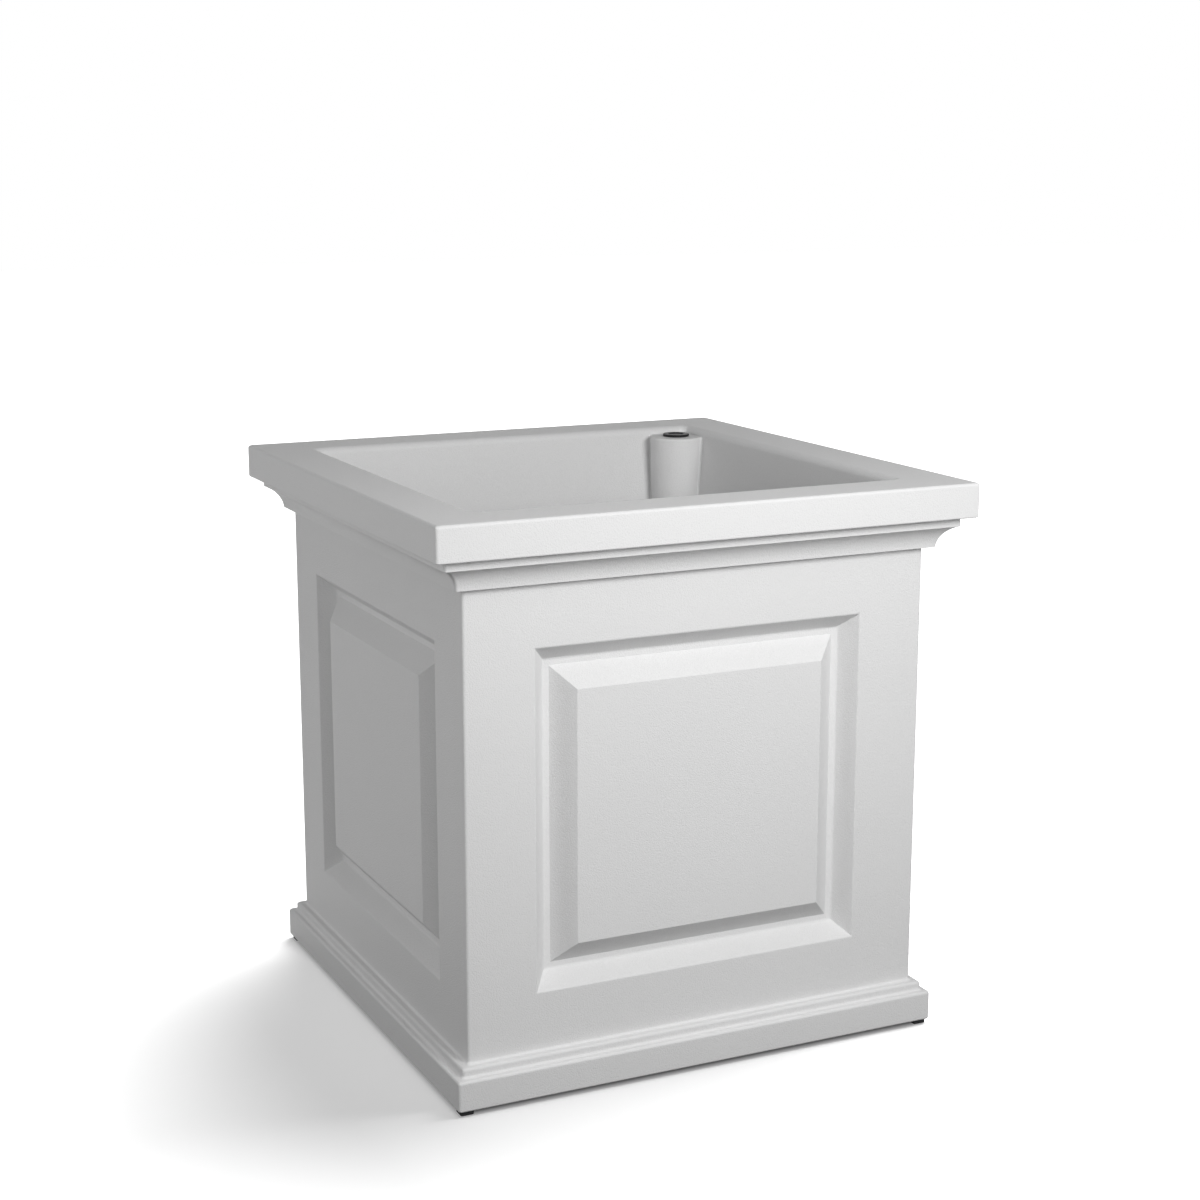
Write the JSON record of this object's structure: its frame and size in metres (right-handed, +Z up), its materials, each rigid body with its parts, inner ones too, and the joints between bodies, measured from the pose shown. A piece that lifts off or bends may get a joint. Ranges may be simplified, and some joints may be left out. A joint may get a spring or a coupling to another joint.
{
  "type": "square floor planter",
  "caption": "Square self-watering floor planter with raised-panel sides, crown rim, stepped plinth, corner fill column and pull-out plugs.",
  "frame": {"origin": "on the floor under the centre of the planter, at the undersides of the foot pads", "axes": "+Z up; +X to the right and +Y away from the viewer when the front face is looked at; the fill column is in the +X +Y corner and the drain plug is low on the +Y face"},
  "size_m": [0.508, 0.508, 0.506],
  "materials": {
    "white_moulding": "fine pebbled matte",
    "black_plug": "satin",
    "black_rubber": "matte"
  },
  "bodies": {
    "planter": {"planter_shell": "white_moulding", "foot_pad_front_left": "black_rubber", "foot_pad_front_right": "black_rubber", "foot_pad_back_left": "black_rubber", "foot_pad_back_right": "black_rubber"},
    "fill_plug": {"fill_plug": "black_plug"},
    "drain_plug": {"drain_plug": "black_plug", "drain_washer": "black_rubber"}
  },
  "joints": [
    {"name": "fill_plug_lift", "type": "slide", "parent": "planter", "child": "fill_plug", "axis": [0, 0, 1], "range_m": [0, 0.03]},
    {"name": "drain_plug_pull", "type": "slide", "parent": "planter", "child": "drain_plug", "axis": [0, 1, 0], "range_m": [0, 0.03]}
  ]
}
